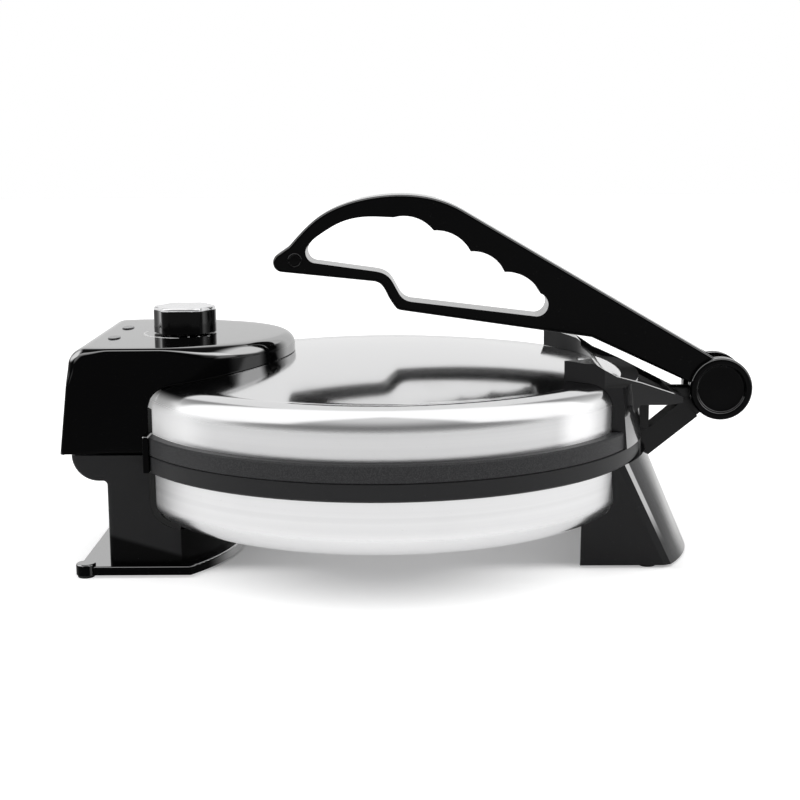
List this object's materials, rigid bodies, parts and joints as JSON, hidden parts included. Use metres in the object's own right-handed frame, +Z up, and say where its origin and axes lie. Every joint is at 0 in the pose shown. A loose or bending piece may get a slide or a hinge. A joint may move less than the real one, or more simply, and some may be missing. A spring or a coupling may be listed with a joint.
{
  "type": "electric roti maker",
  "caption": "Countertop flatbread cooker: round heated plates under a hinged steel lid, pressed by a long lever handle, with a knob box on the lid and a splayed base.",
  "frame": {"origin": "on the floor, below the middle of the whole object's box", "axes": "+X from the control box and knob to the hinge, +Y away from the side that the picture shows, +Z up"},
  "size_m": [0.3556, 0.27, 0.1884],
  "materials": {
    "lid_steel": "mirror-polished stainless steel",
    "pan_steel": "satin stainless steel",
    "ring_plastic": "fine-grained dark grey heat-resistant plastic",
    "gloss_black": "high-gloss black moulding",
    "body_black": "smooth black heat-resistant moulding",
    "handle_black": "semi-gloss black moulding",
    "knob_black": "gloss black moulding",
    "knob_metal": "bright metal disc with a bevelled rim",
    "lamp_lens": "smoked clear lens",
    "lamp_holder": "off-white moulding",
    "rubber": "black silicone rubber",
    "nonstick_plate": "cast aluminium with a dark non-stick coating",
    "heater_sheath": "dull heat-toned steel sheath",
    "zinc_steel": "zinc-plated steel",
    "thermostat_body": "brown phenolic moulding",
    "copper_rod": "plain copper rod",
    "gland_black": "black nylon",
    "ceramic": "off-white ceramic, unglazed"
  },
  "bodies": {
    "base": {"base_pan": "pan_steel", "base_ring": "ring_plastic", "lower_plate": "nonstick_plate", "lower_heater": "heater_sheath", "lower_heater_clips": "zinc_steel", "lower_heat_shield": "zinc_steel", "base_plate_screws": "zinc_steel", "base_clip_screws": "zinc_steel", "thermal_fuse": "zinc_steel", "fuse_clip": "zinc_steel", "front_leg": "body_black", "leg_seals": "rubber", "foot_plate": "gloss_black", "foot_plate_screws": "zinc_steel", "front_pads": "rubber", "rear_foot": "body_black", "rear_pads": "rubber", "hinge_strut": "body_black", "pan_screws": "zinc_steel", "hinge_pin": "zinc_steel", "pin_clips": "zinc_steel", "cord_gland": "gland_black", "gland_nut": "gland_black", "terminal_block": "ceramic", "terminal_screws": "zinc_steel"},
    "lid": {"lid_shell": "lid_steel", "lid_ring": "ring_plastic", "upper_plate": "nonstick_plate", "upper_heater": "heater_sheath", "upper_heater_clips": "zinc_steel", "upper_heat_shield": "zinc_steel", "lid_plate_screws": "zinc_steel", "lid_clip_screws": "zinc_steel", "control_box": "gloss_black", "control_box_floor": "body_black", "control_box_seals": "rubber", "box_screws": "zinc_steel", "ring_tabs": "gloss_black", "thermostat": "thermostat_body", "thermostat_nut": "zinc_steel", "thermostat_sensor": "copper_rod", "lamp_lenses": "lamp_lens", "lamp_holders": "lamp_holder", "lid_bracket": "body_black", "bracket_screws": "zinc_steel"},
    "knob": {"knob": "knob_black", "knob_cap": "knob_metal", "thermostat_shaft": "zinc_steel"},
    "handle": {"handle_near_half": "handle_black", "handle_far_half": "handle_black", "handle_plugs": "handle_black", "handle_screws": "zinc_steel", "hinge_cap_near": "handle_black", "hinge_cap_far": "handle_black"}
  },
  "joints": [
    {"name": "lid_hinge", "type": "hinge", "parent": "base", "child": "lid", "pos_m": [0.16135, 0, 0.086], "axis": [0, 1, 0], "range_deg": [0, 95]},
    {"name": "handle_hinge", "type": "hinge", "parent": "lid", "child": "handle", "pos_m": [0.16135, 0, 0.086], "axis": [0, 1, 0], "range_deg": [0, 70]},
    {"name": "knob_turn", "type": "hinge", "parent": "lid", "child": "knob", "pos_m": [-0.12155, 0, 0.12], "axis": [0, 0, -1], "range_deg": [0, 270]}
  ]
}
